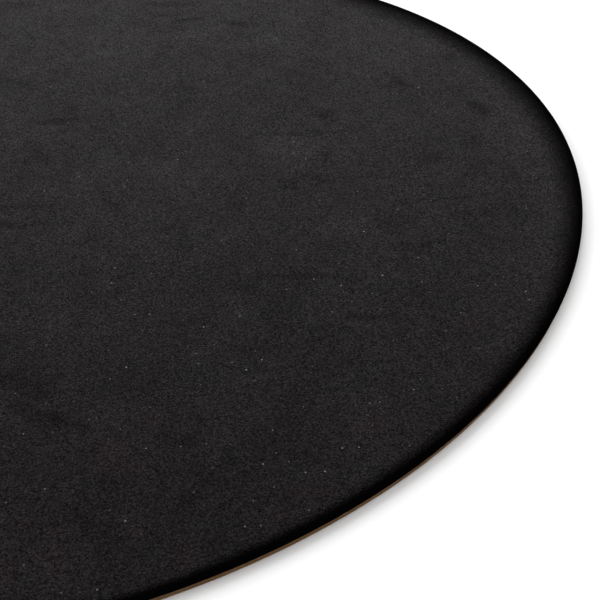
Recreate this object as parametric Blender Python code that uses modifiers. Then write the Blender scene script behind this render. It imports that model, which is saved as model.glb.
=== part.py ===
"""Thin round practice pad: a black rubber playing sheet bonded to a thin brown base board.

Units are metres and +Z is up. The origin is the centre of the board's underside, which rests on the table.
The rubber reaches a little past the board all round, and the adhesive stops short of the board's rim.
"""

import math

import bpy

# Driving dimensions
PAD_DIAMETER = 0.330
RUBBER_THICKNESS = 0.0018
RUBBER_EDGE_RADIUS = 0.0010  # the softly rounded upper edge of the rubber
RUBBER_OVERHANG = 0.0005  # how far the rubber reaches past the board
BOARD_THICKNESS = 0.0014
BOARD_ARRIS = 0.0002  # small chamfer around the underside of the board
FILM_THICKNESS = 0.0002
FILM_SETBACK = 0.0005  # from the board's rim in to the edge of the adhesive film
FILM_CLEARANCE = 0.00005  # between the film and each sheet that it holds

# The largest share of its sheet that each worked edge may take
MOST_EDGE_RADIUS = 0.9
MOST_ARRIS = 0.4

# Finishes: linear colour and roughness
RUBBER_COLOUR = (0.030, 0.029, 0.030)
RUBBER_ROUGHNESS = 0.75
ADHESIVE_COLOUR = (0.30, 0.25, 0.17)
ADHESIVE_ROUGHNESS = 0.45
BOARD_COLOUR = (0.17, 0.10, 0.055)
BOARD_ROUGHNESS = 0.8

# How finely the round pieces are divided
SEGMENTS_AROUND = 240
SEGMENTS_IN_EDGE = 7
MERGE_DISTANCE = 0.00001
SHARP_ANGLE = math.radians(30)

# Dependent sizes
PAD_RADIUS = PAD_DIAMETER / 2
BOARD_RADIUS = PAD_RADIUS - RUBBER_OVERHANG
FILM_RADIUS = BOARD_RADIUS - FILM_SETBACK
FILM_BOTTOM = BOARD_THICKNESS + FILM_CLEARANCE
FILM_TOP = FILM_BOTTOM + FILM_THICKNESS
RUBBER_BOTTOM = FILM_TOP + FILM_CLEARANCE
RUBBER_TOP = RUBBER_BOTTOM + RUBBER_THICKNESS
EDGE_RADIUS = min(RUBBER_EDGE_RADIUS, MOST_EDGE_RADIUS * RUBBER_THICKNESS)
ARRIS = min(BOARD_ARRIS, MOST_ARRIS * BOARD_THICKNESS)


def clear_scene():
    for old in list(bpy.data.objects):
        bpy.data.objects.remove(old, do_unlink=True)


def make_material(name, colour, roughness):
    material = bpy.data.materials.new(name)
    material.use_nodes = True
    shader = material.node_tree.nodes["Principled BSDF"]
    shader.inputs["Base Color"].default_value = (*colour, 1.0)
    shader.inputs["Roughness"].default_value = roughness
    shader.inputs["Metallic"].default_value = 0.0
    return material


def turned_disc(name, profile, height, material, collection):
    """Turn a half profile of (radius, height) points, listed from the top of the axis down, about the Z axis."""
    mesh = bpy.data.meshes.new(name)
    points = [(radius, 0.0, z) for radius, z in profile]
    mesh.from_pydata(points, [(i, i + 1) for i in range(len(points) - 1)], [])
    disc = bpy.data.objects.new(name, mesh)
    disc.location.z = height
    collection.objects.link(disc)
    mesh.materials.append(material)

    screw = disc.modifiers.new("Turn", "SCREW")
    screw.axis = "Z"
    screw.steps = SEGMENTS_AROUND
    screw.render_steps = SEGMENTS_AROUND
    screw.use_merge_vertices = True
    screw.merge_threshold = MERGE_DISTANCE
    apply_turn(disc)
    return disc


def apply_turn(disc):
    """Keep the turned mesh itself, shaded smooth with its square corners sharp."""
    evaluated = disc.evaluated_get(bpy.context.evaluated_depsgraph_get())
    turned = bpy.data.meshes.new_from_object(evaluated)
    profile_mesh = disc.data
    disc.modifiers.clear()
    disc.data = turned
    bpy.data.meshes.remove(profile_mesh)
    turned.name = disc.name
    turned.shade_smooth()
    turned.set_sharp_from_angle(angle=SHARP_ANGLE)


def rounded_corner(radius, top, corner_radius):
    """Points of the quarter round that joins a flat top to the outer wall, from the flat down to the wall."""
    points = []
    for step in range(SEGMENTS_IN_EDGE + 1):
        angle = math.pi / 2 * (1 - step / SEGMENTS_IN_EDGE)
        across = radius - corner_radius * (1 - math.cos(angle))
        points.append((across, top - corner_radius * (1 - math.sin(angle))))
    return points


def make_playing_surface(pad, collection):
    """Flat rubber sheet with a rounded upper edge and a square lower one."""
    rubber = make_material("black rubber", RUBBER_COLOUR, RUBBER_ROUGHNESS)
    profile = [(0.0, RUBBER_THICKNESS)]
    profile += rounded_corner(PAD_RADIUS, RUBBER_THICKNESS, EDGE_RADIUS)
    profile += [(PAD_RADIUS, 0.0), (0.0, 0.0)]
    sheet = turned_disc("playing_surface", profile, RUBBER_BOTTOM, rubber, collection)
    sheet.parent = pad


def make_bond_film(pad, collection):
    """Adhesive film between the two sheets, stopping short of the board's rim."""
    adhesive = make_material("adhesive film", ADHESIVE_COLOUR, ADHESIVE_ROUGHNESS)
    profile = [(0.0, FILM_THICKNESS), (FILM_RADIUS, FILM_THICKNESS), (FILM_RADIUS, 0.0), (0.0, 0.0)]
    film = turned_disc("bond_film", profile, FILM_BOTTOM, adhesive, collection)
    film.parent = pad


def make_base_board(pad, collection):
    """Thin board that carries the rubber, with the arris around its underside taken off."""
    board = make_material("brown fibreboard", BOARD_COLOUR, BOARD_ROUGHNESS)
    profile = [
        (0.0, BOARD_THICKNESS),
        (BOARD_RADIUS, BOARD_THICKNESS),
        (BOARD_RADIUS, ARRIS),
        (BOARD_RADIUS - ARRIS, 0.0),
        (0.0, 0.0),
    ]
    base = turned_disc("base_board", profile, 0.0, board, collection)
    base.parent = pad


def main():
    clear_scene()
    collection = bpy.data.collections.new("practice pad")
    bpy.context.scene.collection.children.link(collection)
    pad = bpy.data.objects.new("practice_pad_origin", None)
    collection.objects.link(pad)
    make_base_board(pad, collection)
    make_bond_film(pad, collection)
    make_playing_surface(pad, collection)
    bpy.context.view_layer.update()


main()
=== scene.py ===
import math

import bpy
import numpy as np
from mathutils import Matrix, Vector


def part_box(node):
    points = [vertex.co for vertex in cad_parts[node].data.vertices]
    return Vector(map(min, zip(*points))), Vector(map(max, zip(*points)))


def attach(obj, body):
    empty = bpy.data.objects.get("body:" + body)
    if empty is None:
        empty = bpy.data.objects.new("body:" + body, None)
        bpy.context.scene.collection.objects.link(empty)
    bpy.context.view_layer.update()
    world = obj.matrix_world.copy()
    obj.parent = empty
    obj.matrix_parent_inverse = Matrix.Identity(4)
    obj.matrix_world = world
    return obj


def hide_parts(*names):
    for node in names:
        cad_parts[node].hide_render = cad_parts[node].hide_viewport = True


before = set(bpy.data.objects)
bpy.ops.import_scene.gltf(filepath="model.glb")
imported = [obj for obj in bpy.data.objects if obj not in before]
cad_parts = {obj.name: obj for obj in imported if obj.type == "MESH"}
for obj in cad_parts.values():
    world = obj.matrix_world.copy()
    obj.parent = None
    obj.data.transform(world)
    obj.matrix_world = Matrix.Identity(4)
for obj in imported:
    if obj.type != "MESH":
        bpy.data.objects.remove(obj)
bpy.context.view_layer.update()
print("frame loaded")

mm = 0.001
fullTurn = 2 * math.pi
creaseDegrees = 50  # corners sharper than this are shaded as sharp
rubberLow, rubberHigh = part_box("playing_surface")
filmLow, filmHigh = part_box("bond_film")
boardLow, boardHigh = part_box("base_board")
padRadius = rubberHigh[0]
boardRadius = boardHigh[0]


def turnedGrid(name, radii, heights, shift, lift):
    # A profile carried once round the Z axis: ring i at angle t lies at radius radii[i] + shift and
    # height heights[i] + lift, where shift and lift are arrays of rings by angles. The profile runs from the
    # top's middle outwards, down the wall and back in, and one point closes each end.
    rings, steps = shift.shape
    turn = angles(steps)
    reach = radii[:, None] + shift
    points = np.stack([reach * np.cos(turn), reach * np.sin(turn), heights[:, None] + lift], axis=-1)
    poles = [[0, 0, points[0, :, 2].mean()], [0, 0, points[-1, :, 2].mean()]]
    points = np.vstack([points.reshape(-1, 3), poles])
    ring, step = np.meshgrid(np.arange(rings - 1), np.arange(steps), indexing="ij")
    beside = (step + 1) % steps
    inner, outer = ring * steps, (ring + 1) * steps
    quads = np.stack([inner + step, outer + step, outer + beside, inner + beside], axis=-1).reshape(-1, 4)
    first = np.arange(steps)
    second = (first + 1) % steps
    topPole = np.stack([np.full(steps, rings * steps), first, second], axis=-1)
    lastRing = (rings - 1) * steps
    lowPole = np.stack([np.full(steps, rings * steps + 1), lastRing + second, lastRing + first], axis=-1)
    mesh = bpy.data.meshes.new(name)
    mesh.from_pydata(points.tolist(), [], quads.tolist() + topPole.tolist() + lowPole.tolist())
    mesh.shade_smooth()
    mesh.set_sharp_from_angle(angle=math.radians(creaseDegrees))
    piece = bpy.data.objects.new(name, mesh)
    bpy.context.scene.collection.objects.link(piece)
    return piece


def angles(steps):
    return np.linspace(0, fullTurn, steps, endpoint=False)


def waves(turn, random, counts, powers):
    # A sum of sines of whole counts round the turn, each with its own power, scaled to run from 0 to 1.
    starts = random.uniform(0, fullTurn, len(counts))
    total = sum(power * np.sin(count * turn + start) for count, start, power in zip(counts, starts, powers))
    return 0.5 + 0.5 * total / sum(powers)


def arc(centreRadius, centreHeight, size, startDegrees, endDegrees, steps):
    # Radii and heights of a corner, swept from one angle above the horizontal to another.
    angle = np.radians(np.linspace(startDegrees, endDegrees, steps + 1))
    return centreRadius + size * np.cos(angle), centreHeight + size * np.sin(angle)


class Wire:
    # One output of a node; arithmetic on it adds Math nodes.
    def __init__(self, bench, socket):
        self.bench = bench
        self.socket = socket

    def math(self, operation, first, second):
        return self.bench.add("ShaderNodeMath", {"operation": operation}, {0: first, 1: second})

    def __add__(self, other):
        return self.math("ADD", self, other)

    def __radd__(self, other):
        return self.math("ADD", other, self)

    def __sub__(self, other):
        return self.math("SUBTRACT", self, other)

    def __rsub__(self, other):
        return self.math("SUBTRACT", other, self)

    def __mul__(self, other):
        return self.math("MULTIPLY", self, other)

    def __rmul__(self, other):
        return self.math("MULTIPLY", other, self)

    def __pow__(self, other):
        return self.math("POWER", self, other)


class Bench:
    # Builds one material: add() makes any node from its type, its settings and its sockets' values or links.
    def __init__(self, name):
        self.material = bpy.data.materials.new(name)
        self.material.use_nodes = True
        self.tree = self.material.node_tree
        self.shader = self.tree.nodes["Principled BSDF"]

    def add(self, kind, settings=None, inputs=None, output=0):
        node = self.tree.nodes.new(kind)
        for key, value in (settings or {}).items():
            if key == "stops":
                self.setStops(node.color_ramp, value)
            else:
                setattr(node, key, value)
        for key, value in (inputs or {}).items():
            self.plug(node.inputs[key], value)
        return Wire(self, node.outputs[output])

    def setStops(self, ramp, stops):
        while len(ramp.elements) < len(stops):
            ramp.elements.new(0.5)
        for element, (place, colour) in zip(ramp.elements, stops):
            element.position = place
            element.color = (*colour, 1)

    def plug(self, socket, value):
        if isinstance(value, Wire):
            self.tree.links.new(value.socket, socket)
        else:
            socket.default_value = value

    def place(self, scale=(1, 1, 1)):
        coordinates = self.add("ShaderNodeTexCoord", output="Object")
        return self.add("ShaderNodeMapping", {}, {"Vector": coordinates, "Scale": scale})

    def noise(self, place, scale, detail=2, roughness=0.5, distortion=0, output=0):
        return self.add("ShaderNodeTexNoise", {}, {
            "Vector": place,
            "Scale": scale,
            "Detail": detail,
            "Roughness": roughness,
            "Distortion": distortion,
        }, output)

    def fade(self, value, start, end, low=0, high=1):
        # Eases from low, where the value is at start, to high, where it is at end.
        return self.add("ShaderNodeMapRange", {"interpolation_type": "SMOOTHSTEP"}, {
            "Value": value,
            "From Min": start,
            "From Max": end,
            "To Min": low,
            "To Max": high,
        })

    def ramp(self, value, places, colours):
        return self.add("ShaderNodeValToRGB", {"stops": list(zip(places, colours))}, {"Fac": value})

    def blend(self, factor, first, second):
        # Sockets 6 and 7 are the Mix node's two colours, and output 2 is its colour.
        return self.add("ShaderNodeMix", {"data_type": "RGBA"}, {"Factor": factor, 6: first, 7: second}, 2)

    def brighten(self, colour, amount):
        grey = self.add("ShaderNodeCombineXYZ", {}, {0: amount, 1: amount, 2: amount})
        return self.vector("MULTIPLY", colour, grey)

    def vector(self, operation, first, second, output=0):
        return self.add("ShaderNodeVectorMath", {"operation": operation}, {0: first, 1: second}, output)

    def length(self, vector):
        return self.add("ShaderNodeVectorMath", {"operation": "LENGTH"}, {0: vector}, "Value")

    def clamp(self, value):
        return self.add("ShaderNodeClamp", {}, {"Value": value})

    def radius(self):
        return self.length(self.place((1, 1, 0)))

    def height(self):
        return self.add("ShaderNodeSeparateXYZ", {}, {0: self.place()}, "Z")

    def bump(self, height, strength, distance):
        return self.add("ShaderNodeBump", {}, {"Height": height, "Strength": strength, "Distance": distance})

    def finish(self, **sockets):
        for key, value in sockets.items():
            self.plug(self.shader.inputs[key.replace("_", " ")], value)
        return self.material

    def mixFrom(self, factor, other):
        # Shows the other shader where factor is 0 and the main one where it is 1.
        own = Wire(self, self.shader.outputs[0])
        mix = self.add("ShaderNodeMixShader", {}, {0: factor, 1: other, 2: own})
        self.plug(self.tree.nodes["Material Output"].inputs["Surface"], mix)
        return self.material


def settle(piece, material, node):
    # Gives a finished piece its material and its body, and hides the CAD node that it stands for.
    piece.data.materials.append(material)
    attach(piece, "root")
    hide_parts(node)


rubber = {
    "around": 1440,
    "edgeRadius": 1.0 * mm,
    "lowerEdge": 0.08 * mm,
    "topRings": 22,
    "topStart": 0.04,         # the first ring's place, where 1 is the end of the flat top
    "topSpread": 0.8,         # below 1, the rings stand closer together towards the rim
    "edgeSteps": 9,
    "wallRings": 5,
    "footSteps": 3,
    "underRings": 6,
    "underStart": 0.05,
    "cutWander": 0.10 * mm,   # the knife's slow drift round the rim
    "wanderFrom": 0.9,        # the share of the radius where that drift starts to show
    "wanderWaves": ((3, 7, 16, 41), (1, 0.7, 0.4, 0.2)),
    "cutTooth": 0.03 * mm,    # the fine chatter that it left on the wall
    "toothWaves": ((97, 151, 233, 331), (1, 1, 0.8, 0.6)),
    "relief": 0.04 * mm,      # how far the flat top dips
    "swells": ((47, 21, 0.4), (-33, 58, 2.1), (88, -74, 4.0)),
    "nicks": 26,
    "nickDepth": 0.16 * mm,
    "nickLeast": 0.3,         # the shallowest nick, as a share of the deepest
    "nickWidth": 0.9 * mm,
    "seed": 5,
}


def makePlayingSurface():
    # The sheet's flat top dips by a few hundredths of a millimetre, its rounded edge was cut by a knife that
    # wandered slightly, and small nicks lift its lower edge.
    top, low = rubberHigh[2], rubberLow[2]
    edge, lower = rubber["edgeRadius"], rubber["lowerEdge"]
    flat = padRadius - edge
    topRadii = flat * np.linspace(rubber["topStart"], 1, rubber["topRings"]) ** rubber["topSpread"]
    edgeRadii, edgeHeights = arc(flat, top - edge, edge, 90, 0, rubber["edgeSteps"])
    wallHeights = np.linspace(top - edge, low + lower, rubber["wallRings"])[1:-1]
    wallRadii = np.full(len(wallHeights), padRadius)
    footRadii, footHeights = arc(padRadius - lower, low + lower, lower, 0, -90, rubber["footSteps"])
    underRadii = (padRadius - lower) * np.linspace(1, rubber["underStart"], rubber["underRings"])[1:]
    topHeights = np.full(len(topRadii) - 1, top)
    underHeights = np.full(len(underRadii), low)
    radii = np.concatenate([topRadii[:-1], edgeRadii, wallRadii, footRadii, underRadii])
    heights = np.concatenate([topHeights, edgeHeights, wallHeights, footHeights, underHeights])

    turn = angles(rubber["around"])
    random = np.random.default_rng(rubber["seed"])
    wander = waves(turn, random, *rubber["wanderWaves"])
    tooth = waves(turn, random, *rubber["toothWaves"])
    nearRim = np.clip((radii / padRadius - rubber["wanderFrom"]) / (1 - rubber["wanderFrom"]), 0, 1)[:, None]
    onWall = np.clip((radii - flat) / edge, 0, 1)[:, None]
    shift = -rubber["cutWander"] * wander * nearRim - rubber["cutTooth"] * tooth * onWall

    # The top's dips are the mean of crossing swells. Each is a sine that turns by so many radians a metre
    # along X and along Y from its own start, which makes wavelengths of about 55 to 120 mm.
    x, y = radii[:, None] * np.cos(turn), radii[:, None] * np.sin(turn)
    swells = [np.sin(alongX * x + alongY * y + start) for alongX, alongY, start in rubber["swells"]]
    swell = sum(swells) / len(swells)
    onTop = np.clip((heights - low) / (top - low), 0, 1)[:, None] ** 2
    lift = -rubber["relief"] * (0.5 + 0.5 * swell) * onTop

    places = random.uniform(0, fullTurn, rubber["nicks"])[:, None]
    depths = rubber["nickDepth"] * random.uniform(rubber["nickLeast"], 1, rubber["nicks"])[:, None]
    away = np.abs((turn - places + math.pi) % fullTurn - math.pi) * padRadius
    nick = (depths * np.exp(-(2 * away / rubber["nickWidth"]) ** 2)).sum(axis=0)
    lowWall = np.clip(1 - (heights - low) / (top - low - edge + lower), 0, 1)[:, None] * onWall
    return turnedGrid("playingSheet", radii, heights, shift, lift + nick * lowWall)


rubberFinish = {
    "colour": (0.0115, 0.0104, 0.0109),
    "warmer": (0.0138, 0.0102, 0.0106),
    "cooler": (0.0100, 0.0106, 0.0116),
    # Painted shade: the dead black shown in the grain's pits, on the rounded rim and on the wall.
    "paintedShadeBlack": (0.0010, 0.0008, 0.0009, 1),
    "dust": (0.30, 0.29, 0.26, 1),
    "tintNoise": (150, 3, 0.55),      # each noise: scale, detail, roughness and distortion
    "tintPlaces": (0.36, 0.5, 0.64),  # where the cooler, the plain and the warmer colour lie on that noise
    "sheen": 0.62,
    "sheenTint": (1.0, 0.85, 0.91, 1),
    "roughness": 0.40,
    "cloudRoughness": 0.15,           # how much rougher the palest cloud is than the darkest
    "paintedShadeBlackRoughness": 0.8,
    "bump": (0.5, 0.10 * mm),         # strength and height
    "grainNoise": (2700, 1, 0.5),
    "grainPower": 2.15,               # how much the grains stand out from the pits
    "grainShare": 0.365,              # the part of the surface that is grain in an average spot
    "cloudNoise": (55, 4, 0.6, 0.5),
    "cloud": 0.9,                     # how strongly the broad clouds vary the grain
    "patchNoise": (260, 2, 0.5),
    "patch": 0.45,                    # and the smaller patches
    "stretch": (1, 0.65, 1),          # the sheet was rolled along Y, which drew its clouds out
    # Painted shade of the rounded rim: the grain gives way to dead black over a ring that is widest on one
    # side.
    "rimFullShade": 0.25 * mm,            # painted shade: dead black just inside the rim
    "rimRagged": 0.8 * mm,
    "rimWidths": (6.2 * mm, 7.4 * mm, 3.4 * mm),
    "rimTowards": math.radians(60),
    "dustScale": 300,
    "dustRadii": (0.085, 0.03),       # in cells of that pattern: where a speck starts and where it is full
    "dustPower": 7,                   # higher, and fewer of the specks are bright
}

# Marks on the top, scattered at random: scuffs and handling are dark, and dusty patches are lighter, with a
# darkness below 0. Each pair is a range, and directions are in degrees.
scuffs = {
    "count": 46,
    "lengths": (7 * mm, 30 * mm),
    "widths": (1.8 * mm, 7 * mm),
    "darkness": (0.14, 0.30),
    "directions": (-65, 5),   # well under a half turn, so the scuffs share a lean
}
dustyPatches = {
    "count": 18,
    "lengths": (14 * mm, 34 * mm),
    "widths": (7 * mm, 18 * mm),
    "darkness": (-0.20, -0.13),
    "directions": (-70, 30),
}
marksSeed = 31
marksReach = 0.94  # the share of the radius inside which every mark has its centre


def scatterMarks():
    # Centres even over the round top: the distance out is the square root of an even draw.
    random = np.random.default_rng(marksSeed)
    marks = []
    for kind in (scuffs, dustyPatches):
        for _ in range(kind["count"]):
            out = marksReach * padRadius * math.sqrt(random.uniform(0, 1))
            side = random.uniform(0, fullTurn)
            centre = (out * math.cos(side), out * math.sin(side), 0)
            direction = math.radians(random.uniform(*kind["directions"]))
            halves = (0.5 * random.uniform(*kind["lengths"]), 0.5 * random.uniform(*kind["widths"]), 1)
            marks.append((centre, direction, halves, random.uniform(*kind["darkness"])))
    return marks


markEdge = (1.3, 0.3)  # where a mark starts and where it is full, as shares of the way out to its ellipse
markNoise = (140, 3)
markReach = 5 * mm     # the span of that noise's push on a mark's outline


def markMask(bench, place):
    # Each mark is a soft ellipse with a wavering outline: the place is taken into its own frame, where the
    # ellipse is a circle of radius 1.
    warp = bench.noise(place, *markNoise, output="Color")
    warp = bench.vector("SUBTRACT", warp, (0.5, 0.5, 0.5))
    warp = bench.vector("MULTIPLY", warp, (markReach, markReach, 0))
    place = bench.vector("ADD", place, warp)
    darkness = 0
    for centre, direction, halves, dark in scatterMarks():
        own = bench.add("ShaderNodeMapping", {"vector_type": "TEXTURE"}, {
            "Vector": place,
            "Location": centre,
            "Rotation": (0, 0, direction),
            "Scale": halves,
        })
        darkness = bench.fade(bench.length(own), *markEdge, 0, dark) + darkness
    return darkness


def paintedRimShade(bench, place, grain):
    # Painted shade of the rounded rim: the grain gives way to dead black towards the rim, over a ring that is
    # widest on one side.
    # Its width is a quadratic in the way across the pad, which runs from -1 on the opposite side to 1 on that
    # one.
    towards = rubberFinish["rimTowards"]
    direction = (math.cos(towards) / padRadius, math.sin(towards) / padRadius, 0)
    across = bench.vector("DOT_PRODUCT", place, direction, "Value")
    level, slope, curve = rubberFinish["rimWidths"]
    width = level + slope * across + curve * across * across
    inward = padRadius - bench.radius() + (grain - 0.5) * rubberFinish["rimRagged"]
    return bench.fade(inward, rubberFinish["rimFullShade"], width)


def finishRubber():
    # Raised grains with a soft sheen over dead black, which is painted shade in the pits, on the rounded rim
    # and on the wall.
    # One mask blends the two: it varies in clouds and patches, it is thinner in the dark marks, and it gives
    # way to painted shade towards the rim.
    bench = Bench("black rubber")
    spot = bench.place()
    rolled = bench.place(rubberFinish["stretch"])
    grain = bench.noise(spot, *rubberFinish["grainNoise"])
    cloud = bench.noise(rolled, *rubberFinish["cloudNoise"])
    patch = bench.noise(rolled, *rubberFinish["patchNoise"])
    clouded = 1 + (cloud - 0.5) * rubberFinish["cloud"] + (patch - 0.5) * rubberFinish["patch"]
    rimShadeFactor = paintedRimShade(bench, spot, grain)
    tone = (grain * 2) ** rubberFinish["grainPower"] * clouded * (1 - markMask(bench, spot)) * rimShadeFactor

    # Dust lies one speck to a cell of the pattern, and each cell's lot says how bright its own is.
    dust = bench.add("ShaderNodeTexVoronoi", {"voronoi_dimensions": "2D"},
                     {"Vector": spot, "Scale": rubberFinish["dustScale"]}, "Distance")
    lot = Wire(bench, dust.socket.node.outputs["Color"])
    speck = bench.fade(dust, *rubberFinish["dustRadii"]) * lot ** rubberFinish["dustPower"] * rimShadeFactor

    tint = bench.noise(spot, *rubberFinish["tintNoise"])
    tints = [rubberFinish[name] for name in ("cooler", "colour", "warmer")]
    colour = bench.blend(speck, bench.ramp(tint, rubberFinish["tintPlaces"], tints), rubberFinish["dust"])
    bench.finish(
        Base_Color=colour,
        Roughness=rubberFinish["roughness"] + (cloud - 0.5) * rubberFinish["cloudRoughness"],
        Normal=bench.bump(grain, *rubberFinish["bump"]),
        Specular_IOR_Level=rubberFinish["sheen"],
        Specular_Tint=rubberFinish["sheenTint"],
    )
    # Painted shade: a dead black without sheen, for the grain's pits, the rounded rim and the wall.
    paintedShadeBlack = bench.add("ShaderNodeBsdfPrincipled", {}, {
        "Base Color": rubberFinish["paintedShadeBlack"],
        "Roughness": rubberFinish["paintedShadeBlackRoughness"],
        "Specular IOR Level": 0,
    })
    return bench.mixFrom(bench.clamp(tone * rubberFinish["grainShare"] + speck), paintedShadeBlack)


settle(makePlayingSurface(), finishRubber(), "playing_surface")
print("playing surface done")


film = {
    "around": 1440,
    "centre": 0.05,           # the two flat rings, as shares of the film's radius
    "middle": 0.6,
    "edgeSteps": 6,
    "creep": 0.30 * mm,       # how far the glue was squeezed out at most
    "creepWaves": ((5, 13, 29, 67, 143), (1, 1, 0.8, 0.6, 0.4)),
    "seed": 11,
}


def makeFilm():
    # A thin layer whose edge creeps outwards by different amounts round the pad, where the glue was squeezed.
    half = 0.5 * (filmHigh[2] - filmLow[2])
    reach = filmHigh[0]
    middle, centre = film["middle"] * reach, film["centre"] * reach
    edgeRadii, edgeHeights = arc(reach - half, filmLow[2] + half, half, 90, -90, film["edgeSteps"])
    radii = np.concatenate([[centre, middle], edgeRadii, [middle, centre]])
    heights = np.concatenate([[filmHigh[2]] * 2, edgeHeights, [filmLow[2]] * 2])
    turn = angles(film["around"])
    random = np.random.default_rng(film["seed"])
    creep = waves(turn, random, *film["creepWaves"])
    shift = film["creep"] * creep * (radii > middle)[:, None]
    return turnedGrid("bondLine", radii, heights, shift, 0 * shift)


filmFinish = {
    "cloudNoise": (420, 4, 0.6),
    "tintPlaces": (0.3, 0.7),
    "tints": ((0.05, 0.035, 0.022), (0.12, 0.085, 0.05)),
    "roughness": 0.35,
    "cloudRoughness": 0.3,
    "rippleNoise": (1800,),
    "bump": (0.3, 0.05 * mm),
}


def finishFilm():
    # Dried glue, clouded where it lies thicker, with a finely rippled skin.
    bench = Bench("adhesive film")
    spot = bench.place()
    cloud = bench.noise(spot, *filmFinish["cloudNoise"])
    ripple = bench.noise(spot, *filmFinish["rippleNoise"])
    return bench.finish(
        Base_Color=bench.ramp(cloud, filmFinish["tintPlaces"], filmFinish["tints"]),
        Roughness=filmFinish["roughness"] + cloud * filmFinish["cloudRoughness"],
        Normal=bench.bump(ripple, *filmFinish["bump"]),
    )


settle(makeFilm(), finishFilm(), "bond_film")
print("adhesive film done")


board = {
    "around": 1440,
    "arris": 0.2 * mm,
    "topCorner": 0.06 * mm,
    "cornerSteps": 2,
    "arrisCurve": ((0, 1), (0.5, 0.35), (1, 0)),  # in from the wall and up from the underside, in arrises
    "wallRings": 11,
    "flatRings": (0.05, 0.5, 0.9, 0.99),
    "wander": 0.08 * mm,      # the saw's slow drift
    "wanderWaves": ((2, 5, 11, 31), (1, 0.8, 0.6, 0.3)),
    "fuzz": 0.05 * mm,        # how far the cut fibres stand back
    "sawnReach": 1.5,         # how far in from the rim the cut is rough, in arrises
    "seed": 23,
}


def makeBoard():
    # A flat board with a sawn wall: each wall point is set back by a random amount, averaged with the points
    # on both sides of it, and the lower corner is worn to a small arris.
    top, low = boardHigh[2], boardLow[2]
    arris, corner = board["arris"], board["topCorner"]
    flatRings = np.array(board["flatRings"])
    cornerRadii, cornerHeights = arc(boardRadius - corner, top - corner, corner, 90, 0, board["cornerSteps"])
    wallHeights = np.linspace(top - corner, low + arris, board["wallRings"])[1:-1]
    wallRadii = np.full(len(wallHeights), boardRadius)
    inward, upward = np.array(board["arrisCurve"]).T
    footRadii, footHeights = boardRadius - arris * inward, low + arris * upward
    topRadii, underRadii = (boardRadius - corner) * flatRings, (boardRadius - arris) * flatRings[::-1]
    topHeights, underHeights = np.full(len(flatRings), top), np.full(len(flatRings), low)
    radii = np.concatenate([topRadii, cornerRadii, wallRadii, footRadii, underRadii])
    heights = np.concatenate([topHeights, cornerHeights, wallHeights, footHeights, underHeights])

    turn = angles(board["around"])
    random = np.random.default_rng(board["seed"])
    wander = waves(turn, random, *board["wanderWaves"])
    torn = random.uniform(0, 1, (len(radii), board["around"]))
    torn = (torn + np.roll(torn, 1, axis=1) + np.roll(torn, -1, axis=1)) / 3
    onWall = (radii > boardRadius - board["sawnReach"] * arris)[:, None]
    shift = -(board["wander"] * wander + board["fuzz"] * torn) * onWall
    return turnedGrid("fibreBoard", radii, heights, shift, 0 * shift)


boardFinish = {
    "fibreSquash": (1, 1, 5),         # pressing laid the fibres flat, and the flecks a little less
    "fibreNoise": (700, 4, 0.65, 0.4),
    "fleckSquash": (1, 1, 3),
    "fleckNoise": (1900, 2, 0.6),
    "tintShares": (0.6, 0.4),         # of the fibres and the flecks
    "tintPlaces": (0.28, 0.5, 0.72),
    "tints": ((0.046, 0.021, 0.007), (0.098, 0.050, 0.018), (0.17, 0.10, 0.044)),
    "patchNoise": (60, 3, 0.5),
    "brightness": 0.80,               # the least, and what the patches and the paler lower edge add to it
    "patchBrightness": 0.3,
    "lowerEdgeBrightness": 0.4,
    "lowerEdgeHeights": (0.7 * mm, 0.1 * mm),
    "screenScale": 190,
    "screenHeights": (0.06 * mm, 0.01 * mm),
    "reliefShares": (0.4, 0.3),       # of the fibres and the flecks, beside a screen print of 1
    "bump": (0.6, 0.12 * mm),
    "roughness": 0.72,
    "fibreRoughness": 0.2,
    "sheen": 0.3,
}


def screenWires(bench, place, direction):
    # One set of the wires of the screen that the board was pressed on.
    return bench.add("ShaderNodeTexWave", {"bands_direction": direction}, {
        "Vector": place,
        "Scale": boardFinish["screenScale"],
    })


def finishBoard():
    # Pressed wood fibres, a little paler towards the lower edge, with the screen's print underneath.
    bench = Bench("pressed fibreboard")
    spot = bench.place()
    fibres = bench.noise(bench.place(boardFinish["fibreSquash"]), *boardFinish["fibreNoise"])
    flecks = bench.noise(bench.place(boardFinish["fleckSquash"]), *boardFinish["fleckNoise"])
    patch = bench.noise(spot, *boardFinish["patchNoise"])
    fibreShare, fleckShare = boardFinish["tintShares"]
    tint = fibres * fibreShare + flecks * fleckShare
    # Lighter towards the lower edge.
    paleLowerEdge = bench.fade(bench.height(), *boardFinish["lowerEdgeHeights"]) * boardFinish["lowerEdgeBrightness"]
    brightness = boardFinish["brightness"] + patch * boardFinish["patchBrightness"] + paleLowerEdge

    under = bench.fade(bench.height(), *boardFinish["screenHeights"])
    screen = screenWires(bench, spot, "X") * screenWires(bench, spot, "Y") * under
    fibreShare, fleckShare = boardFinish["reliefShares"]
    relief = screen + fibres * fibreShare + flecks * fleckShare
    colour = bench.ramp(tint, boardFinish["tintPlaces"], boardFinish["tints"])
    return bench.finish(
        Base_Color=bench.brighten(colour, brightness),
        Roughness=boardFinish["roughness"] + fibres * boardFinish["fibreRoughness"],
        Specular_IOR_Level=boardFinish["sheen"],
        Normal=bench.bump(relief, *boardFinish["bump"]),
    )


settle(makeBoard(), finishBoard(), "base_board")
print("base board done")


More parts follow.
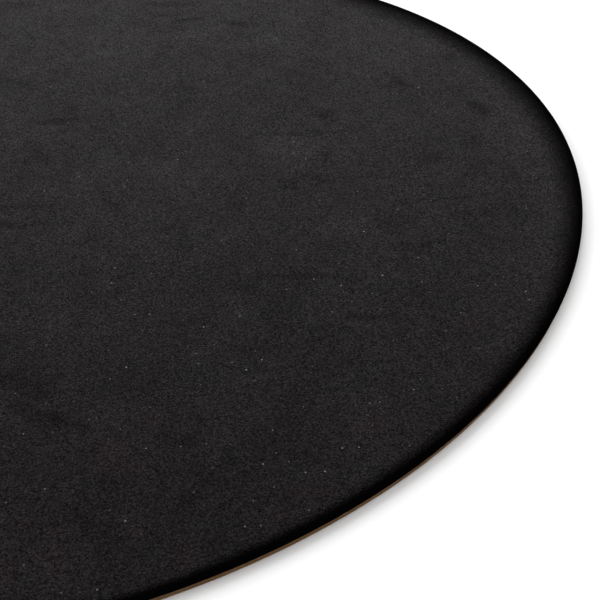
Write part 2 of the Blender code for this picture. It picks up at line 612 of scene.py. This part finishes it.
studio = {
    "floorSize": 80,
    "floorDrop": 0.02 * mm,
    "floorColour": (0.93, 0.93, 0.93, 1),
    "floorRoughness": 0.9,
    "floorSheen": 0.1,
    "skyRise": (0.16, 0.85),  # how high the sky starts and stops dimming: 0 is the horizon and 1 overhead
    "skyLight": (1.0, 0.10),  # its strength below and above that
    "lens": 72,
    "sensor": 36,
    "clip": (0.01, 120),
    "pitch": 36.234,
    "roll": -3.324,
    "eye": (0.5204, -1.8180, 1.0498),  # in pad radii
}

# Each softbox: its name, the angle that it fills, its strength, its azimuth and its elevation, with angles in
# degrees.
softboxes = [
    ("backSoftbox", 56, 1.57, 112, 40),
    ("leftSoftbox", 31, 0.52, 185, 36),
    ("overheadSoftbox", 41, 0.66, 112, 72),
    ("frontSoftbox", 47, 0.93, -60, 66),
]


def makeFloor():
    level = boardLow[2] - studio["floorDrop"]
    bpy.ops.mesh.primitive_plane_add(size=studio["floorSize"], location=(0, 0, level))
    floor = bpy.context.object
    floor.name = "studioFloor"
    paint = Bench("studio floor").finish(
        Base_Color=studio["floorColour"],
        Roughness=studio["floorRoughness"],
        Specular_IOR_Level=studio["floorSheen"],
    )
    floor.data.materials.append(paint)


def makeSoftbox(name, spread, strength, azimuth, elevation):
    # A large panel far away: a lamp with parallel rays, softened over the angle that the panel would fill. It
    # gives no glint.
    lamp = bpy.data.lights.new(name, "SUN")
    lamp.angle = math.radians(spread)
    lamp.energy = strength
    holder = bpy.data.objects.new(name, lamp)
    side, rise = math.radians(azimuth), math.radians(elevation)
    towards = Vector((math.cos(rise) * math.cos(side), math.cos(rise) * math.sin(side), math.sin(rise)))
    holder.rotation_euler = towards.to_track_quat("Z", "Y").to_euler()
    holder.visible_glossy = False
    bpy.context.scene.collection.objects.link(holder)


def makeSky():
    # A white studio seen from inside: bright low down all round, dimmer overhead.
    world = bpy.data.worlds.new("studio")
    bpy.context.scene.world = world
    world.use_nodes = True
    nodes, links = world.node_tree.nodes, world.node_tree.links
    direction = nodes.new("ShaderNodeTexCoord")
    rise = nodes.new("ShaderNodeSeparateXYZ")
    strength = nodes.new("ShaderNodeMapRange")
    strength.interpolation_type = "SMOOTHSTEP"
    values = (*studio["skyRise"], *studio["skyLight"])
    for socket, value in zip(("From Min", "From Max", "To Min", "To Max"), values):
        strength.inputs[socket].default_value = value
    background = nodes["Background"]
    background.inputs["Color"].default_value = (1, 1, 1, 1)
    links.new(direction.outputs["Generated"], rise.inputs[0])
    links.new(rise.outputs["Z"], strength.inputs["Value"])
    links.new(strength.outputs[0], background.inputs["Strength"])


def makeCamera():
    data = bpy.data.cameras.new("studioCamera")
    data.lens = studio["lens"]
    data.sensor_width = studio["sensor"]
    data.clip_start, data.clip_end = studio["clip"]
    camera = bpy.data.objects.new("studioCamera", data)
    eye = Matrix.Translation([padRadius * along for along in studio["eye"]])
    tilt = Matrix.Rotation(math.radians(90 - studio["pitch"]), 4, "X")
    camera.matrix_world = eye @ tilt @ Matrix.Rotation(math.radians(studio["roll"]), 4, "Z")
    bpy.context.scene.collection.objects.link(camera)
    bpy.context.scene.camera = camera


makeFloor()
makeSky()
for softbox in softboxes:
    makeSoftbox(*softbox)
makeCamera()
bpy.context.scene.view_settings.view_transform = "Standard"
print("studio done")
